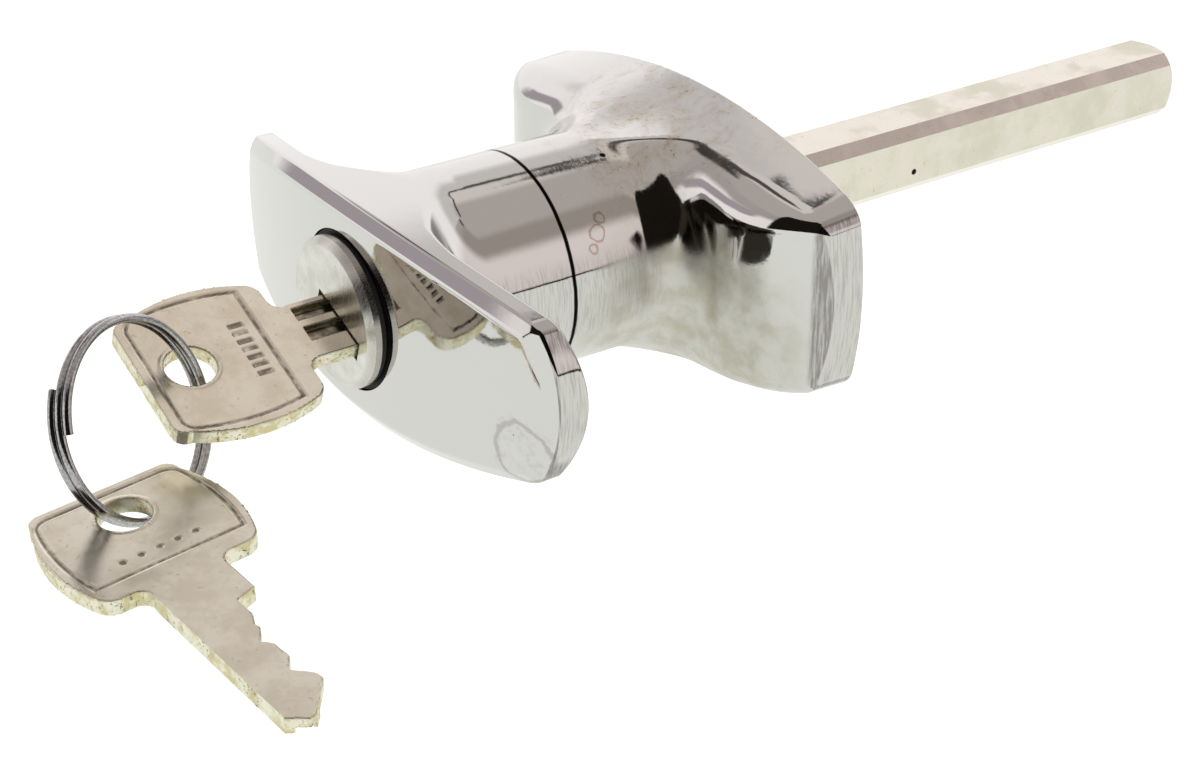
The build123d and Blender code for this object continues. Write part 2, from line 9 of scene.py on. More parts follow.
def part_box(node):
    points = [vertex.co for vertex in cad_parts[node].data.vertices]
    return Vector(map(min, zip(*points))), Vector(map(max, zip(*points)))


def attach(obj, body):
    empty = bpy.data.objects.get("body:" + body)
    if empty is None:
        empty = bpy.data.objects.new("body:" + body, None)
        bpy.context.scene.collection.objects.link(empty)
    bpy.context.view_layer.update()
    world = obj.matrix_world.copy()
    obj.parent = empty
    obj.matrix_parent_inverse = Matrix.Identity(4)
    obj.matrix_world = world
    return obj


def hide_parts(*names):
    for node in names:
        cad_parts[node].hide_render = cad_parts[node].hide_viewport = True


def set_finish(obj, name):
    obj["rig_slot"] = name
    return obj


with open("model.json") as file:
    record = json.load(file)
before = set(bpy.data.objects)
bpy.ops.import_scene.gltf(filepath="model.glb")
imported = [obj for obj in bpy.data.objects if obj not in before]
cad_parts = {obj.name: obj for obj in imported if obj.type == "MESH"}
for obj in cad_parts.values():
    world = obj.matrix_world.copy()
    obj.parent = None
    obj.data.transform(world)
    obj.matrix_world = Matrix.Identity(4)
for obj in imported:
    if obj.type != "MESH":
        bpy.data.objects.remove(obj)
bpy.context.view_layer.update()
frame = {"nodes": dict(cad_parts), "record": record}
MM = 0.001
SURFACE_SHIFT = 2e-4           # keeps surfaces just off the grid's planes, in millimetres
WALK_STEPS = 6                 # steps that bring a mesh point onto its surface
WALK_LIMIT = 0.2               # longest of those steps
HOLE_EDGE = 0.12               # rounding where a hole breaks the surface


def mm_box(node):
    """Lowest and highest corner of a CAD node in millimetres."""
    low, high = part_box(node)
    return np.array(low) / MM, np.array(high) / MM


ROSE_LOW, ROSE_HIGH = mm_box("rose")
GRIP_LOW, GRIP_HIGH = mm_box("t_grip")

# ------------------------------------------------------------------ closed meshes from formulas


def graded(marks):
    """Grid lines through (position, spacing) marks, the spacing changing smoothly between them."""
    lines = [marks[0][0]]
    for (start, fine), (end, coarse) in zip(marks, marks[1:]):
        steps = max(1, int(round((end - start) / (0.5 * (fine + coarse)))))
        share = np.arange(1, steps + 1) / steps
        weight = (coarse - fine) / (coarse + fine)
        lines.extend(start + (end - start) * (share * (1 - weight) + share * share * weight))
    return np.array(lines)


def mirrored(marks):
    """Grid lines on both sides of zero from marks on the positive side."""
    half = graded(marks)
    return np.concatenate([-half[:0:-1], half])


def gradient(shape, points, step=0.01):
    """Slope of shape at each point, by central differences."""
    result = np.empty_like(points)
    for axis in range(3):
        shift = np.zeros(3)
        shift[axis] = step
        result[:, axis] = (shape(points + shift) - shape(points - shift)) / (2 * step)
    return result


def surface_cells(inside):
    """Grid cells that the surface passes through, and the number of each, with -1 for all others."""
    size = [count - 1 for count in inside.shape]
    total = np.zeros(size, np.int8)
    for i in (0, 1):
        for j in (0, 1):
            for k in (0, 1):
                total += inside[i:size[0] + i, j:size[1] + j, k:size[2] + k]
    active = (total > 0) & (total < 8)
    number = np.full(size, -1)
    number[active] = np.arange(active.sum())
    return np.argwhere(active), number


def mean_crossings(value, cells):
    """Mean of the places where the surface crosses each cell's edges, counted in grid steps."""
    place = np.zeros((len(cells), 3))
    hits = np.zeros(len(cells))
    for axis in range(3):
        others = [a for a in range(3) if a != axis]
        for b in (0, 1):
            for c in (0, 1):
                start = cells.copy()
                start[:, others[0]] += b
                start[:, others[1]] += c
                end = start.copy()
                end[:, axis] += 1
                v0 = value[tuple(start.T)] + SURFACE_SHIFT
                v1 = value[tuple(end.T)] + SURFACE_SHIFT
                cross = (v0 < 0) != (v1 < 0)
                share = np.where(cross, v0 / np.where(cross, v0 - v1, 1), 0)
                spot = start.astype(float)
                spot[:, axis] += share
                place += np.where(cross[:, None], spot, 0)
                hits += cross
    return place / hits[:, None]


def from_steps(place, axes):
    """Grid coordinates of places counted in grid steps."""
    whole = np.minimum(place.astype(int), np.array([len(a) for a in axes]) - 2)
    part = place - whole
    return np.stack([axes[a][whole[:, a]] * (1 - part[:, a]) + axes[a][whole[:, a] + 1] * part[:, a]
                     for a in range(3)], 1)


def surface_quads(inside, number):
    """A quad round every grid edge that the surface crosses, through the four cells beside it."""
    faces = []
    for axis, (b, c) in enumerate(((1, 2), (2, 0), (0, 1))):
        low = [slice(None)] * 3
        high = [slice(None)] * 3
        low[axis] = slice(0, -1)
        high[axis] = slice(1, None)
        v0 = inside[tuple(low)]
        v1 = inside[tuple(high)]
        edges = np.argwhere(v0 != v1)
        flip = v1[tuple(edges.T)]
        corners = []
        for db, dc in ((-1, -1), (0, -1), (0, 0), (-1, 0)):
            cell = edges.copy()
            cell[:, b] += db
            cell[:, c] += dc
            corners.append(number[tuple(cell.T)])
        quads = np.stack(corners, 1)
        quads[flip] = quads[flip][:, ::-1]
        faces.append(quads)
    return np.concatenate(faces)


def walk_to_surface(shape, points):
    for _ in range(WALK_STEPS):
        slope = gradient(shape, points)
        move = shape(points)[:, None] * slope / np.maximum((slope ** 2).sum(1), 0.25)[:, None]
        length = np.linalg.norm(move, axis=1)
        points = points - move * np.minimum(1, WALK_LIMIT / np.maximum(length, 1e-9))[:, None]
    return points


def net_mesh(shape, axes, warp, snap):
    """Closed quad mesh of shape(points) = 0, with one vertex for each grid cell the surface crosses.

    warp turns grid coordinates into millimetres, so that grid planes can follow the ridges. snap moves
    points onto crisp edges and says which it moved. Returns points, faces and a normal for each corner."""
    grid = np.stack(np.meshgrid(*axes, indexing="ij"), -1).reshape(-1, 3)
    value = shape(warp(grid)).reshape([len(a) for a in axes])
    inside = value < -SURFACE_SHIFT
    cells, number = surface_cells(inside)
    points = warp(from_steps(mean_crossings(value, cells), axes))
    points, crisp = snap(walk_to_surface(shape, points))
    faces = surface_quads(inside, number)
    smooth = unit(gradient(shape, points))
    flat = unit(gradient(shape, points[faces].mean(1)))
    normals = np.where(crisp[faces][:, :, None], flat[:, None, :], smooth[faces])
    return points, faces, normals.reshape(-1, 3)


def unit(vectors):
    return vectors / np.maximum(np.linalg.norm(vectors, axis=1), 1e-9)[:, None]


def make_piece(name, points, faces, normals):
    """Object in metres from millimetre points, shaded along a normal for each face corner."""
    mesh = bpy.data.meshes.new(name)
    mesh.from_pydata((points * MM).tolist(), [], faces.tolist())
    mesh.shade_smooth()
    mesh.normals_split_custom_set(normals.tolist())
    piece = bpy.data.objects.new(name, mesh)
    bpy.context.scene.collection.objects.link(piece)
    return piece


def snap_to_rim(points, radius, height):
    """Moves points beside a round rim about the spindle's axis onto it. height(x) is the rim's y."""
    radial = np.hypot(points[:, 0], points[:, 2])
    level = height(points[:, 0])
    near = (np.abs(radial - radius) < 0.5) & (np.abs(points[:, 1] - level) < 0.08)
    scale = np.where(near, radius / np.maximum(radial, 1e-6), 1)
    moved = points.copy()
    moved[:, 0] *= scale
    moved[:, 2] *= scale
    moved[:, 1] = np.where(near, height(moved[:, 0]), points[:, 1])
    return moved, near


def round_max(a, b, radius):
    """Intersection of two shapes with a rounded edge."""
    both = np.hypot(np.maximum(a + radius, 0), np.maximum(b + radius, 0)) - radius
    return np.where((a > -radius) & (b > -radius), both, np.maximum(a, b))


def round_min(a, b, radius):
    """Union of two shapes with a concave fillet."""
    return -round_max(-a, -b, radius)


def drill(body, hole):
    """Cuts hole out of body with slightly broken edges."""
    return round_max(body, -hole, HOLE_EDGE)


def smooth_step(low, high, value):
    """Rises smoothly from 0 at low to 1 at high."""
    t = np.clip((value - low) / (high - low), 0, 1)
    return t * t * (3 - 2 * t)


def rod_shape(p, radius, front, back):
    """Cylinder about the spindle's axis."""
    return np.maximum(np.hypot(p[:, 0], p[:, 2]) - radius, np.maximum(front - p[:, 1], p[:, 1] - back))


# ------------------------------------------------------------------ rose

NECK_RADIUS = 14.05
HUB_FRONT_RADIUS = 10.6        # the grip's hub turns inside the rose
HUB_RADIUS = 9.0
HUB_STEP_Y = -20
HUB_END_Y = -3.2
BUSH_RADIUS = 10.5
WASHER_SEAT_RADIUS = 12.6
WASHER_SEAT_Y = -6.8
INSERT_X = 25                  # fixing holes
INSERT_RADIUS = 3.6
INSERT_DEPTH = 6.5
POCKET_DEPTH = 7
POCKET_EDGE = 0.3
BOSS_RADIUS = 14.4             # solid metal left round the hub's bore
NOTCH_HALF_WIDTH = 2.6         # notches for the bolt, a little wider than the bolt needs
NOTCH_REACH = 13.0
NOTCH_Y = (-24.5, -21.3)
ROSE_HALF_LENGTH = ROSE_HIGH[0]
ROSE_HALF_HEIGHT = ROSE_HIGH[2]
ROSE_NECK_Y = ROSE_LOW[1]
ROSE_FRONT = 11.8              # back face to the front of a wing, near the neck
ROSE_FLARE = 6.0               # radius of the flare between neck and wings
FLARE_OUT = NECK_RADIUS + ROSE_FLARE
NOSE_RADIUS = 15.5             # rounding of a wing's front towards its tip
ROSE_END_RADIUS = 47.2         # curve of the end walls
ROSE_BACK_FALL = 0.00568       # fall of the back outline per x squared
ROSE_NECK_RISE = 3.65          # how far a long side sweeps up between neck and back face
ROSE_SWEEP_LENGTH = 18
ROSE_SWEEP_REACH = 34.4        # distance from the middle at which that sweep has died out
ROSE_END_EDGE = 0.45           # rounding between a wing's front and its end wall
RIDGE_SOFT_FROM = (1.0, 13.0)  # the ridge's rounding grows over this distance from the middle
RIDGE_FIRM_FROM = (22, 33)     # and shrinks again over this one


def rose_side(x, y):
    """Height of a long side above the axis."""
    depth = np.clip(-y, 0, ROSE_SWEEP_LENGTH)
    sweep = 1 - (1 - depth / ROSE_SWEEP_LENGTH) ** 2
    soft = np.sqrt(x * x + 9) - 3
    fall = ROSE_BACK_FALL * x * x
    return ROSE_HALF_HEIGHT - fall - ROSE_NECK_RISE * (1 - soft / ROSE_SWEEP_REACH) * sweep


def rose_end(z):
    """Distance of an end wall from the middle."""
    return ROSE_HALF_LENGTH - ROSE_END_RADIUS + np.sqrt(ROSE_END_RADIUS ** 2 - z * z)


def rose_front(x):
    """Place of a wing's front along the axis."""
    out = np.clip(np.abs(x) - FLARE_OUT, 0, NOSE_RADIUS * 0.97)
    return -ROSE_FRONT + NOSE_RADIUS - np.sqrt(NOSE_RADIUS ** 2 - out * out)


def rose_warp(g):
    """Grid planes become the rose's end walls, wing fronts and long sides."""
    x = g[:, 0].copy()
    y = g[:, 1].copy()
    z = g[:, 2].copy()
    for _ in range(4):
        x = g[:, 0] * rose_end(np.clip(z, -20, 20)) / ROSE_HALF_LENGTH
        y = g[:, 1] * np.where(g[:, 1] > -ROSE_FRONT - 2, -rose_front(x) / ROSE_FRONT, 1)
        z = g[:, 2] * rose_side(x, y) / ROSE_HALF_HEIGHT
    return np.stack([x, y, z], 1)


def rose_shape(p):
    """Distance to the rose's surface, about zero on it and negative inside."""
    x, y, z = np.abs(p[:, 0]), p[:, 1], p[:, 2]
    out = x - FLARE_OUT
    rise = y + ROSE_FRONT - NOSE_RADIUS
    nose = np.hypot(np.maximum(out, 0), np.minimum(rise, 0)) - NOSE_RADIUS
    front = np.where(out > 0, nose, -rise - NOSE_RADIUS)
    radial = np.hypot(x, z) - NECK_RADIUS
    front = round_min(radial, front, ROSE_FLARE)
    end = np.hypot(x - (ROSE_HALF_LENGTH - ROSE_END_RADIUS), z) - ROSE_END_RADIUS
    side = (np.abs(z) - rose_side(x, y)) * 0.98
    body = round_max(front, end, ROSE_END_EDGE)
    ridge = 0.05 + 5.0 * smooth_step(*RIDGE_SOFT_FROM, x) - 3.2 * smooth_step(*RIDGE_FIRM_FROM, x)
    body = round_max(body, side, ridge)
    neck = np.maximum(radial, np.maximum(ROSE_NECK_Y - y, y + 10))
    body = np.minimum(body, neck)
    body = np.maximum(body, ROSE_NECK_Y - y)
    body = round_max(body, y, 0.15)
    return rose_holes(p, body)


def lens_shape(p, half_length, corner_x, corner_z, half_height):
    """Boat-shaped prism along the axis, between two long arcs and two end arcs."""
    sag = half_length - corner_x
    end_radius = (corner_z ** 2 + sag ** 2) / (2 * sag)
    rise = half_height - corner_z
    side_radius = (corner_x ** 2 + rise ** 2) / (2 * rise)
    end = np.hypot(np.abs(p[:, 0]) + end_radius - half_length, p[:, 2]) - end_radius
    side = np.hypot(p[:, 0], np.abs(p[:, 2]) + side_radius - half_height) - side_radius
    return np.maximum(end, side)


def rose_holes(p, body):
    """Hub bores, bolt notches, casting pockets and fixing holes behind the rose."""
    x, y, z = np.abs(p[:, 0]), p[:, 1], np.abs(p[:, 2])
    bore = rod_shape(p, HUB_FRONT_RADIUS + 0.1, -40, HUB_STEP_Y + 0.4)
    bore = np.minimum(bore, rod_shape(p, BUSH_RADIUS, HUB_STEP_Y, 0))
    bore = np.minimum(bore, rod_shape(p, WASHER_SEAT_RADIUS, WASHER_SEAT_Y, 10))
    notch = np.maximum(np.minimum(x, z) - NOTCH_HALF_WIDTH, np.maximum(x, z) - NOTCH_REACH)
    notch = np.maximum(notch, np.maximum(NOTCH_Y[0] - y, y - NOTCH_Y[1]))
    bore = np.minimum(bore, notch)
    pocket = lens_shape(p, 28.5, 27.5, 8.5, 12.2)
    pocket = np.maximum(pocket, np.maximum(-POCKET_DEPTH - y, y - 9))
    boss = np.hypot(x - INSERT_X, p[:, 2])
    pocket = round_max(pocket, INSERT_RADIUS + 2.0 - boss, POCKET_EDGE)
    pocket = round_max(pocket, BOSS_RADIUS - np.hypot(p[:, 0], p[:, 2]), POCKET_EDGE)
    insert = np.maximum(boss - INSERT_RADIUS, np.maximum(-INSERT_DEPTH - y, y - 9))
    hole = np.minimum(np.minimum(bore, pocket), insert)
    return drill(body, hole)


# ------------------------------------------------------------------ grip

BEVEL_DEPTH = 1.2              # bevel round the face, along the axis
BEVEL_HEIGHT = 1.7             # and across it
BEVEL_SLOPE = 2.081            # length of the bevel's slope
GRIP_HALF_LENGTH = GRIP_HIGH[0]
GRIP_RIDGE = GRIP_LOW[1] + BEVEL_DEPTH
GRIP_BOW = 0.00419             # set-back of the ridge per x squared
GRIP_HALF_HEIGHT = 14.0
GRIP_HEIGHT_FALL = 0.00379     # loss of half height per x squared
GRIP_EDGE = 2.4                # thickness of a wing along its long sides
GRIP_CROWN = 1.5               # extra thickness at mid height
GRIP_NECK_TOP = -39.0          # where the straight neck ends and the flare begins
GRIP_FLARE = 8.6
GRIP_END_RADIUS = 17.68        # curve of the ends
GRIP_END_CORNER = 0.8          # rounding between the ends and the long sides
GRIP_BACK_EDGE = 0.45
GRIP_FACE_EDGE = 0.22          # rounding on both sides of the bevel
GRIP_FLARE_BLEND = 1.6
GRIP_NECK_END = -28.075
LOCK_BORE = 10.0
LOCK_BORE_FLOOR = -31.0
HUB_BORE_RADIUS = 8.2
HUB_FLOOR = -21.6
SOCKET_HALF = 4.8025           # square socket for the spindle
BOLT_SLOT_HALF = 2.05
BOLT_SLOT_Y = (-24.0, -21.7)
CLIP_GROOVE_RADIUS = 8.2
CLIP_GROOVE_Y = (-4.9, -3.8)
DOWEL_RADIUS = 0.8
DOWEL_ORBIT = 8.97
DOWEL_END = -29.6
PIN_RADIUS = 1.5               # cross pin through hub and spindle
PIN_Y = -13.0


def grip_ridge(x):
    """Place along the axis of the ridge between bevel and long side."""
    return GRIP_RIDGE + GRIP_BOW * x * x


def grip_height(x):
    """Height of a long side above the axis."""
    return GRIP_HALF_HEIGHT - GRIP_HEIGHT_FALL * x * x


def grip_end(z):
    """Distance of an end from the middle."""
    flat = np.clip(z, -17, 17)
    return GRIP_HALF_LENGTH - GRIP_END_RADIUS + np.sqrt(GRIP_END_RADIUS ** 2 - flat * flat)


def grip_warp(g):
    """Grid planes become the grip's ridges, long sides and ends."""
    x = g[:, 0].copy()
    y = g[:, 1].copy()
    z = g[:, 2].copy()
    near = 1 - smooth_step(-42, -36, g[:, 1])
    for _ in range(6):
        stretch = grip_end(z) / GRIP_HALF_LENGTH
        x = g[:, 0] * (1 + (stretch - 1) * near)
        y = g[:, 1] + (grip_ridge(x) - GRIP_RIDGE) * near
        z = g[:, 2] * (1 + (grip_height(x) / GRIP_HALF_HEIGHT - 1) * near)
    return np.stack([x, y, z], 1)


def grip_shape(p):
    """Distance to the grip's surface, about zero on it and negative inside."""
    x, y, z = np.abs(p[:, 0]), p[:, 1], np.abs(p[:, 2])
    ridge = grip_ridge(x)
    height = grip_height(x)
    tilt = np.sqrt(1 + (2 * GRIP_BOW * x) ** 2)
    face = (ridge - BEVEL_DEPTH - y) / tilt
    out = np.maximum(x - GRIP_HALF_LENGTH + GRIP_END_RADIUS, 0)
    end = (np.hypot(out, z) - GRIP_END_RADIUS) * 0.97
    rim = round_max(z - height, end, GRIP_END_CORNER)
    bevel = (rim * BEVEL_DEPTH - (y - ridge) * BEVEL_HEIGHT) / BEVEL_SLOPE
    back = (y - ridge - GRIP_EDGE - GRIP_CROWN * (1 - (z / height) ** 2)) / tilt
    radial = np.maximum(grip_neck(x, y, z), y - GRIP_NECK_END)
    body = round_min(radial, back, GRIP_FLARE_BLEND)
    body = np.where(y < -37, round_max(body, rim, GRIP_BACK_EDGE), body)
    body = round_max(body, bevel, GRIP_FACE_EDGE)
    body = round_max(body, face, GRIP_FACE_EDGE)
    body = np.maximum(body, y - GRIP_NECK_END)
    hub = rod_shape(p, HUB_FRONT_RADIUS, -32, HUB_STEP_Y)
    hub = np.minimum(hub, rod_shape(p, HUB_RADIUS, HUB_STEP_Y - 1, HUB_END_Y))
    body = np.minimum(body, hub)
    return grip_holes(p, body)


def grip_neck(x, y, z):
    """Distance to the round neck and the flare that widens it into the wings."""
    flare = np.clip(GRIP_NECK_TOP - y, 0, GRIP_FLARE)
    left = GRIP_FLARE ** 2 - flare * flare
    wide = NECK_RADIUS + GRIP_FLARE - np.sqrt(np.maximum(left, 0))
    slope = np.sqrt(1 + np.clip(flare / np.sqrt(np.maximum(left, 1e-2)), 0, 6) ** 2)
    return (np.hypot(x, z) - wide) / slope


def grip_holes(p, body):
    """Lock bore, spindle socket, bolt slot, clip groove and the holes for the two pins."""
    x, y, z = p[:, 0], p[:, 1], p[:, 2]
    radial = np.hypot(x, z)
    body = np.maximum(body, -np.maximum(radial - LOCK_BORE, y - LOCK_BORE_FLOOR))
    hole = rod_shape(p, HUB_BORE_RADIUS, LOCK_BORE_FLOOR - 1, HUB_FLOOR)
    socket = np.maximum(np.maximum(np.abs(x), np.abs(z)) - SOCKET_HALF, -20.3 - y)
    hole = np.minimum(hole, socket)
    slot = np.maximum(np.abs(x) - BOLT_SLOT_HALF, np.maximum(z + 6, -12 - z))
    slot = np.maximum(slot, np.maximum(BOLT_SLOT_Y[0] - y, y - BOLT_SLOT_Y[1]))
    hole = np.minimum(hole, slot)
    groove = np.maximum(CLIP_GROOVE_Y[0] - y, y - CLIP_GROOVE_Y[1])
    groove = np.maximum(groove, CLIP_GROOVE_RADIUS - radial)
    hole = np.minimum(hole, groove)
    dowel = np.maximum(LOCK_BORE_FLOOR - 1 - y, y - DOWEL_END)
    dowel = np.maximum(dowel, np.hypot(x - DOWEL_ORBIT, z) - DOWEL_RADIUS)
    hole = np.minimum(hole, dowel)
    cross = np.maximum(np.hypot(y - PIN_Y, z) - PIN_RADIUS, np.abs(x) - 15)
    hole = np.minimum(hole, cross)
    return drill(body, hole)


def rose_snap(points):
    return snap_to_rim(points, NECK_RADIUS, lambda x: np.full_like(x, ROSE_NECK_Y))


def grip_snap(points):
    points, neck = snap_to_rim(points, NECK_RADIUS, lambda x: np.full_like(x, GRIP_NECK_END))
    points, bore = snap_to_rim(points, LOCK_BORE, lambda x: grip_ridge(x) - BEVEL_DEPTH)
    return points, neck | bore


# Grids along x, y and z: (place, spacing) marks in millimetres, finest beside ridges and rims.
rose_grid = [
    mirrored([(0, 0.8), (20, 0.8), (31, 0.5), (33.65, 0.12), (34.6, 0.5)]),
    graded([(-29, 0.3), (-27.98, 0.1), (-27.88, 0.1), (-27, 0.5), (-19, 0.6), (-11.8, 0.14), (-9, 0.6),
            (-1, 0.4), (0, 0.12), (0.8, 0.4)]),
    mirrored([(0, 0.8), (12, 0.7), (14, 0.35), (17.7, 0.12), (18.6, 0.4)]),
]
rose_piece = make_piece("rose_casting", *net_mesh(rose_shape, rose_grid, rose_warp, rose_snap))
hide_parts("rose")
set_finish(rose_piece, "rose_chrome")
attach(rose_piece, "rose_body")

grip_grid = [
    mirrored([(0, 0.8), (20, 0.8), (32.5, 0.4), (34.3, 0.12), (36, 0.12), (37, 0.5)]),
    graded([(-52.4, 0.4), (-51.55, 0.1), (-51.45, 0.1), (-50.3, 0.12), (-49.5, 0.4), (-47.9, 0.14),
            (-44, 0.5), (-29, 0.6), (-28.12, 0.1), (-28.02, 0.1), (-27, 0.5), (-20, 0.5), (-3.2, 0.3),
            (-2.4, 0.5)]),
    mirrored([(0, 0.8), (9.5, 0.5), (12.3, 0.12), (14, 0.1), (14.9, 0.4)]),
]
grip_piece = make_piece("grip_casting", *net_mesh(grip_shape, grip_grid, grip_warp, grip_snap))
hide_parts("t_grip")
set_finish(grip_piece, "grip_chrome")
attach(grip_piece, "handle")

# ------------------------------------------------------------------ keys

# On a key, u runs from the head's end towards the tip, w across the blade and n through it.
KEY_HALF = 1.05                # half thickness
HEAD_LENGTH = 18.7
BLADE_LOW = -4.72
BLADE_HIGH = 4.08
SHOULDER_FILLET = 1.6
FIRST_CUT = 25.4
TIP_END = FIRST_CUT + 19.9
CUTS = [(0.5, 0.0), (0.75, 0.9), (1.2, 2.55), (3.2, 2.5), (4.3, 2.6), (5.7, 3.25), (6.4, 3.05),
        (7.4, 3.6), (8.4, 4.3), (9.5, 3.4), (12.3, 3.35), (13.7, 4.35), (14.2, 4.25), (16.0, 2.7),
        (17.1, 2.55), (17.7, 2.95), (21.4, 6.2), (21.5, 6.9)]
KEY_HOLE_U = 5.9
KEY_HOLE_RADIUS = 3.0
HEAD_CORNER = 2.6
MARKS_U = 13.4                 # line of the plain bars or dots across the head
BAR_PITCH = 1.3
DOT_PITCH = 2.2
WARD_GROOVES = ((-3.9, -2.1), (-0.8, 1.3))
WARD_LEVEL = -0.2
KEYWAY_ANGLE = 21              # the lock's keyway below horizontal, in degrees
KEY_ACROSS = 2.36              # head centre's distance from the lock's axis
KEY_HEAD_END_Y = -78.75
SPARE_ORIGIN = (8.42, -87.53, -9.24)
SPARE_TILT = (3.15, 2.82, 4.28)


def arc_points(a, b, c, steps):
    """Points on the arc from a through b to c."""
    (ax, ay), (bx, by), (cx, cy) = a, b, c
    d = 2 * (ax * (by - cy) + bx * (cy - ay) + cx * (ay - by))
    a2, b2, c2 = ax ** 2 + ay ** 2, bx ** 2 + by ** 2, cx ** 2 + cy ** 2
    ux = (a2 * (by - cy) + b2 * (cy - ay) + c2 * (ay - by)) / d
    uy = (a2 * (cx - bx) + b2 * (ax - cx) + c2 * (bx - ax)) / d
    angles = np.unwrap([math.atan2(y - uy, x - ux) for x, y in (a, b, c)])
    turn = np.linspace(angles[0], angles[2], steps)
    radius = math.hypot(ax - ux, ay - uy)
    return [(ux + radius * math.cos(t), uy + radius * math.sin(t)) for t in turn]


def key_outline():
    """Closed outline of the key: head with soft corners, filleted shoulders, blade, cuts and tip."""
    upper = arc_points((0, 7.2), (0.5, 8.65), (1.9, 9.1), 6)
    upper += arc_points((1.9, 9.1), (9.8, 10.9), (16.9, 9.7), 18)[1:]
    upper += arc_points((16.9, 9.7), (18.35, 8.7), (HEAD_LENGTH, 7.2), 7)[1:]
    lower = [(u, -w) for u, w in reversed(upper)]
    bend = SHOULDER_FILLET * (1 - math.sqrt(0.5))
    fillet_end = HEAD_LENGTH + SHOULDER_FILLET
    high = arc_points((HEAD_LENGTH, BLADE_HIGH + SHOULDER_FILLET),
                      (HEAD_LENGTH + bend, BLADE_HIGH + bend), (fillet_end, BLADE_HIGH), 7)
    low = arc_points((fillet_end, BLADE_LOW), (HEAD_LENGTH + bend, BLADE_LOW - bend),
                     (HEAD_LENGTH, BLADE_LOW - SHOULDER_FILLET), 7)
    teeth = [(FIRST_CUT + u, BLADE_HIGH - drop) for u, drop in CUTS]
    return np.array(upper + high + teeth + [(TIP_END, BLADE_LOW)] + low + lower)


OUTLINE = key_outline()


def outline_distance(u, w):
    """Distance to the key's outline, negative inside."""
    best = np.full(u.shape, 1e9)
    crossings = np.zeros(u.shape, bool)
    for (u0, w0), (u1, w1) in zip(OUTLINE, np.roll(OUTLINE, -1, axis=0)):
        du, dw = u1 - u0, w1 - w0
        share = np.clip(((u - u0) * du + (w - w0) * dw) / (du * du + dw * dw), 0, 1)
        best = np.minimum(best, (u - u0 - share * du) ** 2 + (w - w0 - share * dw) ** 2)
        if dw != 0:
            spans = (w0 > w) != (w1 > w)
            crossings ^= spans & (u < u0 + (w - w0) * du / dw)
    return np.where(crossings, -1, 1) * np.sqrt(best)


def flat_distance(u, w):
    """Distance to the flat key with the hole in its head."""
    hole = KEY_HOLE_RADIUS - np.hypot(u - KEY_HOLE_U, w)
    return np.maximum(outline_distance(u, w), hole)


def key_relief(u, w, face):
    """Depth below the key's face: groove, panel and plain marks on the head.

    Neither face carries any lettering: one has a row of bars, the other a row of dots."""
    head = HEAD_LENGTH + 0.25
    frame_edge = np.maximum(flat_ring(u, w), u - (head - 1.9))
    groove = 0.17 * np.exp(-((frame_edge + 1.3) / 0.24) ** 2)
    panel = 0.05 * smooth_step(1.5, 1.9, -frame_edge)
    eye = smooth_step(3.4, 3.7, np.hypot(u - KEY_HOLE_U, w))
    depth = (groove + panel) * np.where(u < head, 1, 0) * eye
    bars = 0.10 * smooth_step(0.42, 0.22, np.abs(repeat(w, BAR_PITCH)))
    bars = bars * smooth_step(1.0, 0.8, np.abs(u - MARKS_U)) * (np.abs(w) < 4.4)
    dots = 0.12 * smooth_step(0.5, 0.25, np.hypot(repeat(w, DOT_PITCH), u - MARKS_U))
    dots = dots * (np.abs(w) < 5.6)
    return depth + np.where(face < 0, bars, dots)


def repeat(w, pitch):
    """Distance from the middle of the nearest of a row of marks."""
    return ((w + pitch / 2) % pitch) - pitch / 2


def flat_ring(u, w):
    """Distance to the head's own outline, without the blade."""
    end = -u
    side = np.hypot(u - 9.3, np.abs(w) + 17.6) - 28.5
    shoulder = u - HEAD_LENGTH
    return round_max(round_max(end, side, HEAD_CORNER), shoulder, HEAD_CORNER)


def key_shape(p):
    """Distance to the key's surface, about zero on it and negative inside."""
    u, w, n = p[:, 0], p[:, 1], p[:, 2]
    face = KEY_HALF - key_relief(u, w, n)
    body = np.maximum(flat_distance(u, w), np.abs(n) - face)
    for low, high in WARD_GROOVES:
        ward = np.maximum(low - w, w - high)
        ward = np.maximum(ward, np.maximum(HEAD_LENGTH + 2.0 - u, n - WARD_LEVEL))
        body = np.maximum(body, -ward)
    return body


def key_snap(points):
    """Keeps the key's outer edges crisp."""
    u, w = points[:, 0], points[:, 1]
    flat = flat_distance(u, w)
    near = (np.abs(flat) < 0.13) & (np.abs(np.abs(points[:, 2]) - KEY_HALF) < 0.12)
    slope = np.zeros_like(points)
    step = 0.01
    slope[:, 0] = flat_distance(u + step, w) - flat_distance(u - step, w)
    slope[:, 1] = flat_distance(u, w + step) - flat_distance(u, w - step)
    moved = points - np.where(near, flat, 0)[:, None] * unit(slope)
    moved[:, 2] = np.where(near, np.sign(points[:, 2]) * KEY_HALF, points[:, 2])
    return moved, near


def key_piece(name, node, body, origin, along, across):
    """Copy of the key that stands for a CAD node, with its own X along the blade and Y across it."""
    piece = make_piece(name, *key_mesh)
    axes = Matrix((along, across, along.cross(across))).transposed().to_4x4()
    piece.matrix_world = Matrix.Translation(origin * MM) @ axes
    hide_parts(node)
    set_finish(piece, "key_nickel")
    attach(piece, body)
    return piece


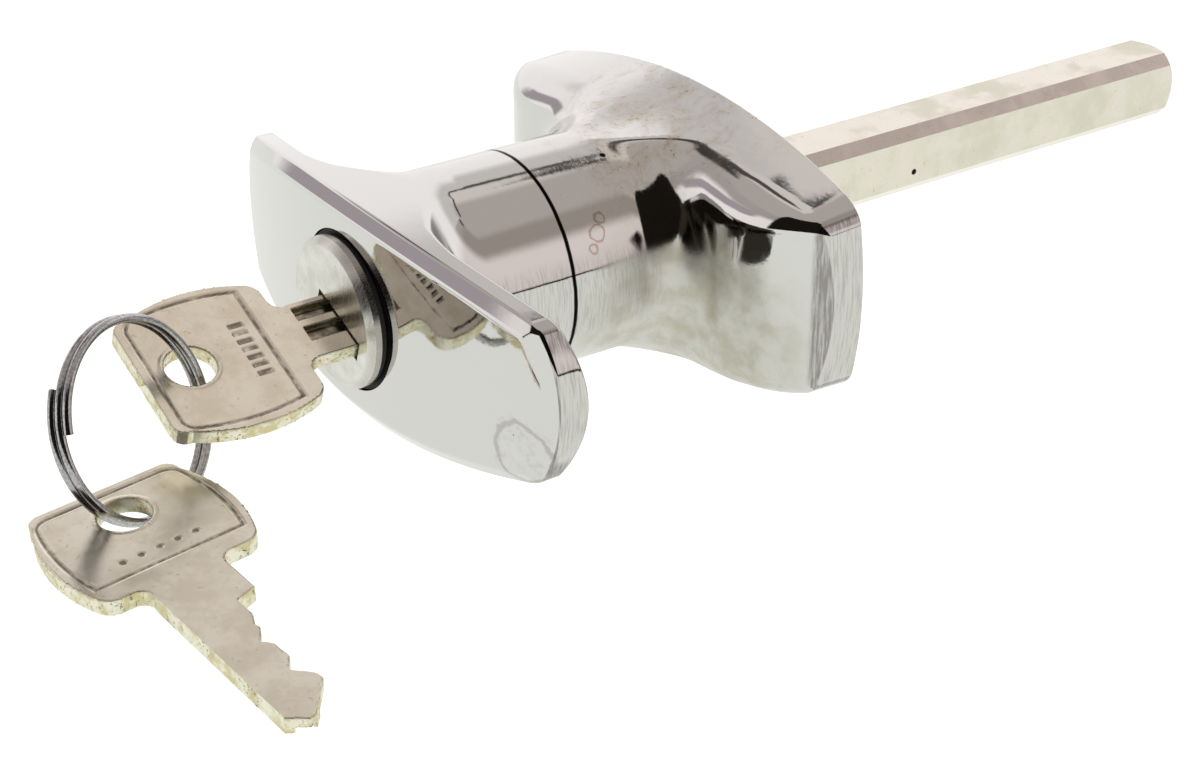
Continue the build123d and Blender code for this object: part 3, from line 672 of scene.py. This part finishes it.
key_grid = [
    graded([(-0.53, 0.2), (48.2, 0.2)]),
    graded([(-11.5, 0.2), (11.5, 0.2)]),
    np.array([-1.3, -1.12, -0.76, -0.45, -0.08, 0.3, 0.76, 1.12, 1.3]),
]
key_mesh = net_mesh(key_shape, key_grid, lambda g: g, key_snap)
keyway = math.radians(KEYWAY_ANGLE)
lock_across = Vector((math.cos(keyway), 0, -math.sin(keyway)))
first_origin = lock_across * KEY_ACROSS + Vector((0, KEY_HEAD_END_Y, 0))
first_key = key_piece("key_blank_in_lock", "key_in_lock", "key", first_origin, Vector((0, 1, 0)), lock_across)
turn_x, turn_y, turn_z = [Matrix.Rotation(math.radians(a), 3, axis) for a, axis in zip(SPARE_TILT, "XYZ")]
tilt = turn_x @ turn_y @ turn_z
second_key = key_piece("key_blank_spare", "spare_key", "spare", Vector(SPARE_ORIGIN),
                       tilt.col[0], tilt.col[1])

# ------------------------------------------------------------------ materials


class Tree:
    """Short names for building a node tree."""

    def __init__(self, tree):
        self.tree = tree

    def node(self, kind):
        return self.tree.nodes.new("ShaderNode" + kind)

    def put(self, socket, value):
        if isinstance(value, bpy.types.NodeSocket):
            self.tree.links.new(value, socket)
        elif isinstance(value, tuple) and len(socket.default_value) == 4 and len(value) == 3:
            socket.default_value = (*value, 1.0)
        else:
            socket.default_value = value

    def math(self, operation, a, b=0.0):
        made = self.node("Math")
        made.operation = operation
        self.put(made.inputs[0], a)
        self.put(made.inputs[1], b)
        return made.outputs[0]

    def add(self, a, b):
        return self.math("ADD", a, b)

    def times(self, a, b):
        return self.math("MULTIPLY", a, b)

    def size(self, a):
        return self.math("ABSOLUTE", a)

    def vector(self, operation, a, b):
        made = self.node("VectorMath")
        made.operation = operation
        self.put(made.inputs[0], a)
        self.put(made.inputs[1], b)
        return made.outputs["Value" if operation == "DISTANCE" else "Vector"]

    def split(self, vector):
        made = self.node("SeparateXYZ")
        self.put(made.inputs[0], vector)
        return made.outputs

    def join(self, x, y, z):
        made = self.node("CombineXYZ")
        for socket, value in zip(made.inputs, (x, y, z)):
            self.put(socket, value)
        return made.outputs[0]

    def span(self, value, low, high, out_low=0.0, out_high=1.0):
        """Smooth ramp from out_low at low to out_high at high."""
        made = self.node("MapRange")
        made.interpolation_type = "SMOOTHSTEP"
        for socket, given in zip(made.inputs, (value, low, high, out_low, out_high)):
            self.put(socket, given)
        return made.outputs["Result"]

    def band(self, value, low, high, soft):
        """1 between low and high, falling to 0 within soft outside them."""
        up = self.span(value, low - soft, low)
        down = self.span(value, high, high + soft)
        return self.times(up, self.math("SUBTRACT", 1.0, down))

    def mix(self, share, a, b):
        made = self.node("Mix")
        made.data_type = "RGBA"
        self.put(made.inputs["Factor"], share)
        self.put(made.inputs[6], a)
        self.put(made.inputs[7], b)
        return made.outputs[2]

    def noise(self, scale, detail=3.0, rough=0.5, place=None, distortion=0.0):
        made = self.node("TexNoise")
        self.put(made.inputs["Vector"], place if place is not None else self.place)
        made.inputs["Scale"].default_value = scale
        made.inputs["Detail"].default_value = detail
        made.inputs["Roughness"].default_value = rough
        made.inputs["Distortion"].default_value = distortion
        return made.outputs["Fac"]

    def spots(self, scale):
        """Distance from the nearest of many scattered points."""
        made = self.node("TexVoronoi")
        self.put(made.inputs["Vector"], self.place)
        made.inputs["Scale"].default_value = scale
        return made.outputs["Distance"]

    def stretched(self, scale, turn=(0, 0, 0)):
        made = self.node("Mapping")
        self.put(made.inputs["Vector"], self.place)
        made.inputs["Scale"].default_value = scale
        made.inputs["Rotation"].default_value = turn
        return made.outputs["Vector"]


class Paint(Tree):
    """A material around one Principled shader, with places in millimetres."""

    def __init__(self, name):
        self.material = bpy.data.materials.new(name)
        self.material.use_nodes = True
        super().__init__(self.material.node_tree)
        self.shader = self.tree.nodes["Principled BSDF"]
        coords = self.node("TexCoord")
        self.place = self.vector("MULTIPLY", coords.outputs["Object"], (1000, 1000, 1000))
        self.x, self.y, self.z = self.split(self.place)
        self.facing = self.split(coords.outputs["Normal"])
        squares = self.add(self.times(self.x, self.x), self.times(self.z, self.z))
        self.radius = self.math("SQRT", squares)
        self.normal = None

    def bump(self, height, depth):
        """Adds a bump whose full height is depth millimetres."""
        made = self.node("Bump")
        self.put(made.inputs["Height"], height)
        made.inputs["Distance"].default_value = depth * MM
        if self.normal is not None:
            self.put(made.inputs["Normal"], self.normal)
        self.normal = made.outputs["Normal"]

    def near(self, centre, radius, soft):
        """1 inside a ball about a place in millimetres, falling to 0 over soft."""
        away = self.vector("DISTANCE", self.place, centre)
        return self.span(away, radius, radius + soft, 1.0, 0.0)

    def finish(self, color, roughness, metallic=1.0):
        self.put(self.shader.inputs["Base Color"], color)
        self.put(self.shader.inputs["Roughness"], roughness)
        self.shader.inputs["Metallic"].default_value = metallic
        if self.normal is not None:
            self.put(self.shader.inputs["Normal"], self.normal)
        return self.material


CHROME = (0.66, 0.655, 0.64)
CHROME_STAIN = (0.42, 0.34, 0.22)
# painted shade for the lower flare's dim reflection of the table
CHROME_LOW_REFLECTION_SHADE = (0.42, 0.39, 0.29)
CHROME_PIT = (0.05, 0.04, 0.03)
# painted shade for the grip's back, which the rose's flare reflects
SHADE_PAINTED_BACK = (0.035, 0.030, 0.024)
DRIED_RINGS = (((12.0, -23.6, 7.2), 1.0), ((11.0, -22.6, 8.6), 0.7), ((12.6, -24.6, 5.6), 0.6))
PLAIN_ROUGHNESS = 0.25


def chrome_base(paint):
    """Fine scratches, slight waviness and faint haze that all the chrome has."""
    paint.bump(paint.noise(0.35, 2, 0.5), 0.010)
    paint.bump(paint.noise(2.2, 3, 0.6), 0.0012)
    around = paint.join(paint.times(paint.y, 14.0), paint.times(paint.x, 0.4), paint.times(paint.z, 0.4))
    brushed = paint.noise(1.0, 3, 0.7, place=around)
    paint.bump(brushed, 0.0012)
    haze = paint.span(paint.noise(0.12, 4, 0.65), 0.45, 0.7)
    rough = paint.add(0.035, paint.times(haze, 0.05))
    return paint.add(rough, paint.times(paint.span(brushed, 0.5, 0.75), 0.035))


def rose_chrome(name):
    """Chrome with a brown stain above, painted shade on the lower flare, pits, a pin hole painted black as
    shade and dried rings.
    """
    paint = Paint(name)
    rough = chrome_base(paint)
    # brown staining and pitting over the middle of the upper side
    patch = paint.near((2, -6, 15.5), 8.0, 14.0)
    cloud = paint.span(paint.noise(0.28, 5, 0.7, distortion=0.6), 0.40, 0.66)
    stain = paint.times(patch, cloud)
    grains = paint.span(paint.noise(1.6, 3, 0.7), 0.5, 0.68)
    stain = paint.times(stain, paint.add(0.35, paint.times(grains, 0.65)))
    # faint yellowish painted shade over the lower flare, standing in for its dim reflection of the shaded
    # table
    low = paint.near((17, -12, -6), 10.0, 9.0)
    low_reflection_shade = paint.times(low, paint.span(paint.noise(0.3, 4, 0.6), 0.35, 0.68, 0.3, 1.0))
    color = paint.mix(paint.times(stain, 0.95), CHROME, CHROME_STAIN)
    color = paint.mix(paint.times(low_reflection_shade, 0.7), color, CHROME_LOW_REFLECTION_SHADE)
    pits = paint.span(paint.spots(0.9), 0.05, 0.10, 1.0, 0.0)
    picked = paint.times(pits, paint.span(paint.noise(0.5, 2, 0.5), 0.55, 0.6))
    picked = paint.times(picked, paint.add(0.25, patch))
    color = paint.mix(picked, color, CHROME_PIT)
    # painted shade: a black dot standing in for the small pin hole in the neck
    pin_hole_shade = paint.near((4.6, -17.6, 13.25), 0.32, 0.12)
    color = paint.mix(pin_hole_shade, color, (0.004, 0.004, 0.004))
    rough = paint.add(rough, paint.times(stain, 0.28))
    worn = paint.times(low, paint.span(paint.z, 5.5, 2.5))
    rough = paint.add(rough, paint.times(worn, 0.30))
    paint.bump(paint.noise(1.1, 2, 0.5), 0.0022)
    paint.bump(paint.times(grains, stain), 0.004)
    for centre, size in DRIED_RINGS:
        away = paint.vector("DISTANCE", paint.place, centre)
        away = paint.add(away, paint.times(paint.noise(0.8, 3, 0.6), 0.9))
        dried = paint.band(away, size + 0.40, size + 0.50, 0.16)
        color = paint.mix(paint.times(dried, 0.6), color, (0.34, 0.22, 0.14))
    color = end_walls(paint, color)
    color = painted_joint_shade(paint, color)
    return paint.finish(color, rough)


def grip_chrome(name):
    """Chrome with a rubbed ring on one tip, a few pits and a back painted nearly black as shade."""
    paint = Paint(name)
    rough = chrome_base(paint)
    # rings rubbed into the lower right tip
    away = paint.vector("DISTANCE", paint.place, (31.5, -47.0, -6.0))
    ring = paint.add(away, paint.times(paint.noise(0.5, 3, 0.6), 1.6))
    rubbed = paint.band(ring, 4.55, 4.75, 0.35)
    inner = paint.span(away, 4.4, 4.9, 1.0, 0.0)
    inner = paint.times(inner, paint.span(paint.noise(0.9, 5, 0.7), 0.45, 0.75))
    mark = paint.math("MAXIMUM", paint.times(rubbed, 0.55), paint.times(inner, 0.3))
    color = paint.mix(mark, CHROME, (0.36, 0.34, 0.31))
    pits = paint.span(paint.spots(0.5), 0.03, 0.06, 1.0, 0.0)
    picked = paint.times(pits, paint.span(paint.noise(0.4, 2, 0.5), 0.6, 0.63))
    color = paint.mix(picked, color, (0.05, 0.04, 0.04))
    rough = paint.add(rough, paint.times(mark, 0.2))
    # painted shade: the back is coloured nearly black so that the rose's flare reflects it as its dark
    # patches
    back = paint.span(paint.facing[1], 0.45, 0.75)
    back = paint.times(back, paint.span(paint.y, -41.5, -43.0))
    color = paint.mix(back, color, SHADE_PAINTED_BACK)
    rough = paint.add(rough, paint.times(back, 0.12))
    color = end_walls(paint, color)
    color = painted_joint_shade(paint, color)
    return paint.finish(color, rough)


def end_walls(paint, color):
    """Grey streaks down the end walls, and a darker band along their outer edge."""
    lean = paint.size(paint.facing[0])
    streaks = paint.noise(1.0, 3, 0.7, place=paint.stretched((1.0, 4.0, 0.25)))
    wall = paint.times(paint.span(lean, 0.90, 0.97), paint.span(streaks, 0.42, 0.7, 0.15, 0.8))
    color = paint.mix(wall, color, (0.42, 0.40, 0.37))
    edge = paint.times(paint.band(lean, 0.78, 0.90, 0.04), paint.span(streaks, 0.3, 0.6, 0.25, 0.8))
    outer = paint.span(paint.size(paint.x), 29.0, 30.5)
    return paint.mix(paint.times(edge, outer), color, (0.20, 0.18, 0.17))


def painted_joint_shade(paint, color):
    """Painted shade in the joint between the grip's neck and the rose: a dark line standing in for the shadow
    in the gap.
    """
    wander = paint.times(paint.noise(0.5, 2, 0.5), 0.16)
    line = paint.band(paint.add(paint.y, wander), -28.13, -27.72, 0.12)
    rim = paint.span(paint.radius, 13.0, 13.6)
    return paint.mix(paint.times(line, rim), color, (0.015, 0.012, 0.010))


def plain_metal(name, color):
    """Turned or pressed metal with slight cloudiness and fine grain."""
    paint = Paint(name)
    tint = paint.mix(paint.noise(0.25, 4, 0.6), tuple(c * 0.8 for c in color), color)
    surface = paint.noise(3.2, 4, 0.7)
    paint.bump(surface, 0.002)
    rough = paint.span(surface, 0.3, 0.7, PLAIN_ROUGHNESS * 0.8, PLAIN_ROUGHNESS * 1.25)
    return paint.finish(tint, rough)


def key_nickel(name):
    """Worn nickel silver: rubbed faces, dirt in the grooves, yellow speckled edges."""
    paint = Paint(name)
    flat = paint.span(paint.size(paint.facing[2]), 0.6, 0.85)
    level = paint.size(paint.z)
    across = paint.noise(1.0, 3, 0.7, place=paint.stretched((7.0, 0.35, 1.0)))
    cloud = paint.noise(0.22, 4, 0.6)
    face = paint.mix(paint.span(cloud, 0.35, 0.65), (0.72, 0.66, 0.54), (0.85, 0.80, 0.69))
    face = paint.mix(paint.span(across, 0.55, 0.75, 0.0, 0.25), face, (0.55, 0.49, 0.42))
    specks = paint.span(paint.noise(1.3, 3, 0.7), 0.64, 0.70)
    face = paint.mix(paint.times(specks, 0.4), face, (0.40, 0.30, 0.16))
    rim = paint.span(paint.noise(0.5, 3, 0.7), 0.42, 0.62)
    edge = paint.mix(rim, (0.86, 0.84, 0.70), (0.66, 0.60, 0.36))
    crust = paint.times(paint.span(paint.noise(2.6, 4, 0.75), 0.56, 0.62), paint.span(cloud, 0.42, 0.55))
    edge = paint.mix(crust, edge, (0.16, 0.11, 0.05))
    color = paint.mix(flat, edge, face)
    dirt = paint.times(paint.span(level, 0.90, 1.01, 1.0, 0.0), flat)
    grime = paint.span(paint.noise(0.7, 3, 0.6), 0.3, 0.6, 0.2, 0.8)
    color = paint.mix(paint.times(dirt, grime), color, (0.10, 0.075, 0.05))
    paint.bump(across, 0.0016)
    paint.bump(paint.noise(0.5, 3, 0.5), 0.006)
    scratch = paint.noise(1.0, 2, 0.6, place=paint.stretched((0.5, 9.0, 1.0), (0, 0, 0.5)))
    paint.bump(paint.span(scratch, 0.66, 0.74), 0.0015)
    rough = paint.add(0.17, paint.times(cloud, 0.12))
    rough = paint.add(rough, paint.times(paint.math("SUBTRACT", 1.0, flat), 0.2))
    return paint.finish(color, rough)


def plug_nickel(name):
    """Lock face brushed in one direction, with a dull rim."""
    paint = Paint(name)
    lines = paint.noise(1.0, 3, 0.7, place=paint.stretched((9.0, 1.0, 0.5), (0, 0.5, 0)))
    cloud = paint.noise(0.3, 4, 0.6)
    color = paint.mix(paint.span(cloud, 0.3, 0.7), (0.62, 0.61, 0.57), (0.76, 0.75, 0.71))
    rim = paint.span(paint.radius, 8.2, 9.2)
    color = paint.mix(paint.times(rim, 0.45), color, (0.40, 0.36, 0.33))
    inner = paint.span(paint.radius, 7.5, 6.0)
    paint.bump(lines, 0.0016)
    color = paint.mix(paint.times(inner, 0.1), color, (0.5, 0.45, 0.4))
    return paint.finish(color, paint.span(lines, 0.3, 0.7, 0.20, 0.34))


# painted shade: a black dot standing in for a small nick in the bar
SPINDLE_NICK_SHADE = (4.76, 34.0, -1.5)


def spindle_zinc(name):
    """Milled and plated bar: faint cutter arcs, creamy tone, yellow clouding and one small nick painted black
    as shade.
    """
    paint = Paint(name)
    arcs = paint.node("TexWave")
    arcs.wave_type = "RINGS"
    arcs.rings_direction = "SPHERICAL"
    paint.put(arcs.inputs["Vector"], paint.vector("ADD", paint.place, (9.0, -30.0, 6.0)))
    arcs.inputs["Scale"].default_value = 0.28
    arcs.inputs["Distortion"].default_value = 1.2
    arcs.inputs["Detail"].default_value = 2.0
    cloud = paint.span(paint.noise(0.12, 4, 0.65), 0.4, 0.65)
    color = paint.mix(cloud, (0.78, 0.74, 0.66), (0.72, 0.70, 0.58))
    corner = paint.times(paint.size(paint.facing[0]), paint.size(paint.facing[2]))
    color = paint.mix(paint.span(corner, 0.2, 0.4), color, (0.90, 0.84, 0.78))
    spot = paint.times(paint.span(paint.noise(1.1, 3, 0.7), 0.66, 0.70), 0.35)
    color = paint.mix(spot, color, (0.40, 0.33, 0.20))
    nick_shade = paint.near(SPINDLE_NICK_SHADE, 0.35, 0.15)
    color = paint.mix(nick_shade, color, (0.01, 0.008, 0.006))
    paint.bump(arcs.outputs["Fac"], 0.0016)
    paint.bump(paint.noise(0.4, 3, 0.5), 0.004)
    return paint.finish(color, paint.span(cloud, 0, 1, 0.26, 0.38))


def ring_steel(name):
    """Drawn wire with fine darker mottling."""
    paint = Paint(name)
    lines = paint.noise(1.0, 3, 0.7, place=paint.stretched((3.0, 3.0, 3.0)))
    color = paint.mix(paint.span(lines, 0.35, 0.7), (0.52, 0.52, 0.53), (0.30, 0.29, 0.29))
    paint.bump(lines, 0.0012)
    return paint.finish(color, 0.16)


def housing_brass(name):
    """Brass inside the grip; its front face, down in the recess behind the lock face, is dull and painted
    nearly black as shade.
    """
    paint = Paint(name)
    front = paint.span(paint.y, -47.5, -48.5)
    tone = paint.noise(0.5, 4, 0.6)
    color = paint.mix(tone, (0.62, 0.45, 0.20), (0.72, 0.55, 0.28))
    # painted shade: the recessed front face is nearly black, standing in for the shadow gap round the lock
    # face
    color = paint.mix(front, color, (0.03, 0.026, 0.022))
    paint.bump(paint.noise(2.0, 3, 0.6), 0.002)
    return paint.finish(color, paint.span(front, 0, 1, 0.3, 0.55))


def rubber(name):
    """Black seal with a fine speckle."""
    paint = Paint(name)
    speck = paint.noise(3.0, 4, 0.7)
    paint.bump(speck, 0.01)
    return paint.finish(paint.mix(speck, (0.02, 0.02, 0.02), (0.05, 0.05, 0.05)), 0.7, 0.0)


def dress(piece, material):
    """Gives a piece one material."""
    piece.data.materials.clear()
    piece.data.materials.append(material)


NODE_SLOT = {part["node"]: part["material_slot"] for part in frame["record"]["subparts"]}
SPECIAL = {
    "rose_chrome": rose_chrome,
    "grip_chrome": grip_chrome,
    "seal_rubber": rubber,
    "key_nickel": key_nickel,
    "plug_nickel": plug_nickel,
    "spindle_zinc": spindle_zinc,
    "ring_steel": ring_steel,
    "housing_brass": housing_brass,
}
FINISH = {}
for entry in frame["record"]["materials"]:
    slot = entry["slot"]
    if slot in SPECIAL:
        FINISH[slot] = SPECIAL[slot](slot)
    else:
        FINISH[slot] = plain_metal(slot, tuple(entry["base_color"][:3]))
for node, piece in frame["nodes"].items():
    dress(piece, FINISH[NODE_SLOT[node]])
for piece in (rose_piece, grip_piece, first_key, second_key):
    dress(piece, FINISH[piece["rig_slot"]])

# ------------------------------------------------------------------ floor, light and camera

TABLE_TILT = 0.0757            # the part would lean like this on its lower edges
TABLE_TOUCH = -17.72           # height at which the table would just touch the part
TABLE_DROP = 65.0              # room below it for the grip and the keys in every pose
TABLE_HALF_WIDTH = 9.34        # metres
FLOOR_SEEN = (1.0, 1.0, 1.0)
FLOOR_REFLECTED = (0.79, 0.81, 0.78)


def build_floor():
    """Large pale table, white to the camera and slightly grey in reflections."""
    far = TABLE_HALF_WIDTH
    mesh = bpy.data.meshes.new("floor")
    mesh.from_pydata([(-far, -far, 0), (far, -far, 0), (far, far, 0), (-far, far, 0)], [], [(0, 1, 2, 3)])
    floor = bpy.data.objects.new("floor", mesh)
    bpy.context.scene.collection.objects.link(floor)
    table_normal = Vector((0, TABLE_TILT, 1)).normalized()
    floor.rotation_mode = "QUATERNION"
    floor.rotation_quaternion = table_normal.to_track_quat("Z", "Y")
    floor.location = (0, 0, TABLE_TOUCH * MM - TABLE_DROP * MM)
    paint = Paint("floor_white")
    paint.finish((0.36, 0.37, 0.35), 0.8, 0.0)
    seen = paint.node("LightPath").outputs["Is Camera Ray"]
    paint.put(paint.shader.inputs["Emission Color"], paint.mix(seen, FLOOR_REFLECTED, FLOOR_SEEN))
    paint.shader.inputs["Emission Strength"].default_value = 1.0
    paint.shader.inputs["Specular IOR Level"].default_value = 0.0
    dress(floor, paint.material)


BACK_CEILING = (0.84, 0.78, 0.74)
CEILING = (0.56, 0.51, 0.48)
FAR_WALL = (1.16, 1.12, 1.12)
RIGHT_WALL = (0.93, 0.84, 0.82)
DIM_WALL = (0.06, 0.035, 0.0)
GREY_FLAG = (0.47, 0.42, 0.45)
DARK_ROOM = (0.012, 0.010, 0.008)
FRONT_MIDDLE = 58              # direction of the open front
FRONT_HALF_WIDTH = 44
FRONT_TOP = 49


class Studio(Tree):
    """The world's colour by direction: turn about the vertical and rise above the horizon, in degrees."""

    def __init__(self, tree):
        super().__init__(tree)
        x, y, z = self.split(self.node("TexCoord").outputs["Generated"])
        self.turn = self.times(self.math("ARCTAN2", x, self.times(y, -1.0)), 180 / math.pi)
        self.rise = self.times(self.math("ARCSINE", z), 180 / math.pi)

    def off(self, middle):
        """Distance above or below a line across the studio."""
        return self.size(self.math("SUBTRACT", self.rise, middle))

    def walls(self):
        """Bright walls that dim towards a lilac ceiling."""
        wall = self.mix(self.span(self.turn, -50, 60), FAR_WALL, RIGHT_WALL)
        wall = self.mix(self.span(self.turn, 160, 180), wall, FAR_WALL)
        dim = self.span(self.rise, 27, 38, 1.0, self.span(self.turn, -100, -82, 0.62, 0.40))
        wall = self.mix(dim, DIM_WALL, wall)
        ceiling = self.mix(self.band(self.turn, -150, -104, 14.0), CEILING, BACK_CEILING)
        return self.mix(self.span(self.rise, 47, 53), wall, ceiling)

    def climbing_band(self, color):
        """Dark band where the back wall meets the ceiling, climbing to the left."""
        climb = self.times(self.add(self.turn, 94.0), -0.62)
        away = self.off(self.add(51.0, self.math("MAXIMUM", climb, 0.0)))
        band = self.times(self.span(away, 4.5, 9.0, 1.0, 0.0), self.band(self.turn, -126, -78, 8.0))
        return self.mix(self.times(band, 0.9), color, DARK_ROOM)

    def neck_seam(self, color):
        """Thin dark seam that the round neck reflects."""
        away = self.off(self.add(49.2, self.span(self.turn, -141, -150, 0.0, 4.6)))
        side = self.span(self.turn, -135, -133, 1.0, 0.0)
        side = self.math("MAXIMUM", side, self.span(self.turn, 166, 172))
        return self.mix(self.times(self.span(away, 0.9, 1.6, 0.9, 0.0), side), color, DARK_ROOM)

    def flag(self, color):
        """Grey flag beside the left wall."""
        away = self.off(self.add(38.5, self.times(self.turn, 0.42)))
        flag = self.times(self.band(self.turn, -74, -20, 8.0), self.span(away, 5.0, 9.0, 1.0, 0.0))
        return self.mix(flag, color, GREY_FLAG)

    def open_front(self, color):
        """Dark opening with rounded corners, and a low gap in the wall on its other side."""
        aside = self.size(self.math("SUBTRACT", self.turn, FRONT_MIDDLE))
        beside = self.math("MAXIMUM", self.math("SUBTRACT", aside, FRONT_HALF_WIDTH), 0.0)
        above = self.math("MAXIMUM", self.math("SUBTRACT", self.rise, FRONT_TOP), 0.0)
        away = self.math("SQRT", self.add(self.times(beside, beside), self.times(above, above)))
        color = self.mix(self.span(away, 11, 14, 1.0, 0.0), color, DARK_ROOM)
        gap = self.times(self.band(self.rise, -8.0, -1.5, 1.0), self.span(self.turn, 100, 110))
        return self.mix(gap, color, DARK_ROOM)


def build_world():
    """Soft white tent: bright walls, a dimmer lilac ceiling and an open front with a dark room beyond."""
    world = bpy.data.worlds.new("studio")
    world.use_nodes = True
    studio = Studio(world.node_tree)
    color = studio.walls()
    for layer in (studio.climbing_band, studio.neck_seam, studio.flag, studio.open_front):
        color = layer(color)
    studio.put(world.node_tree.nodes["Background"].inputs["Color"], color)
    bpy.context.scene.world = world


CAMERA_PLACE = (0.2136, -0.1630, 0.1203)
CAMERA_AIM = (-0.722, 0.501, -0.477)
CAMERA_LENS = 67.7
SENSOR_WIDTH = 36


def build_camera():
    data = bpy.data.cameras.new("camera")
    data.sensor_width = SENSOR_WIDTH
    data.lens = CAMERA_LENS
    data.clip_start = 0.01
    camera = bpy.data.objects.new("camera", data)
    bpy.context.scene.collection.objects.link(camera)
    camera.location = CAMERA_PLACE
    camera.rotation_mode = "QUATERNION"
    camera.rotation_quaternion = Vector(CAMERA_AIM).to_track_quat("-Z", "Y")
    bpy.context.scene.camera = camera


build_floor()
build_world()
build_camera()
bpy.context.scene.view_settings.view_transform = "Standard"
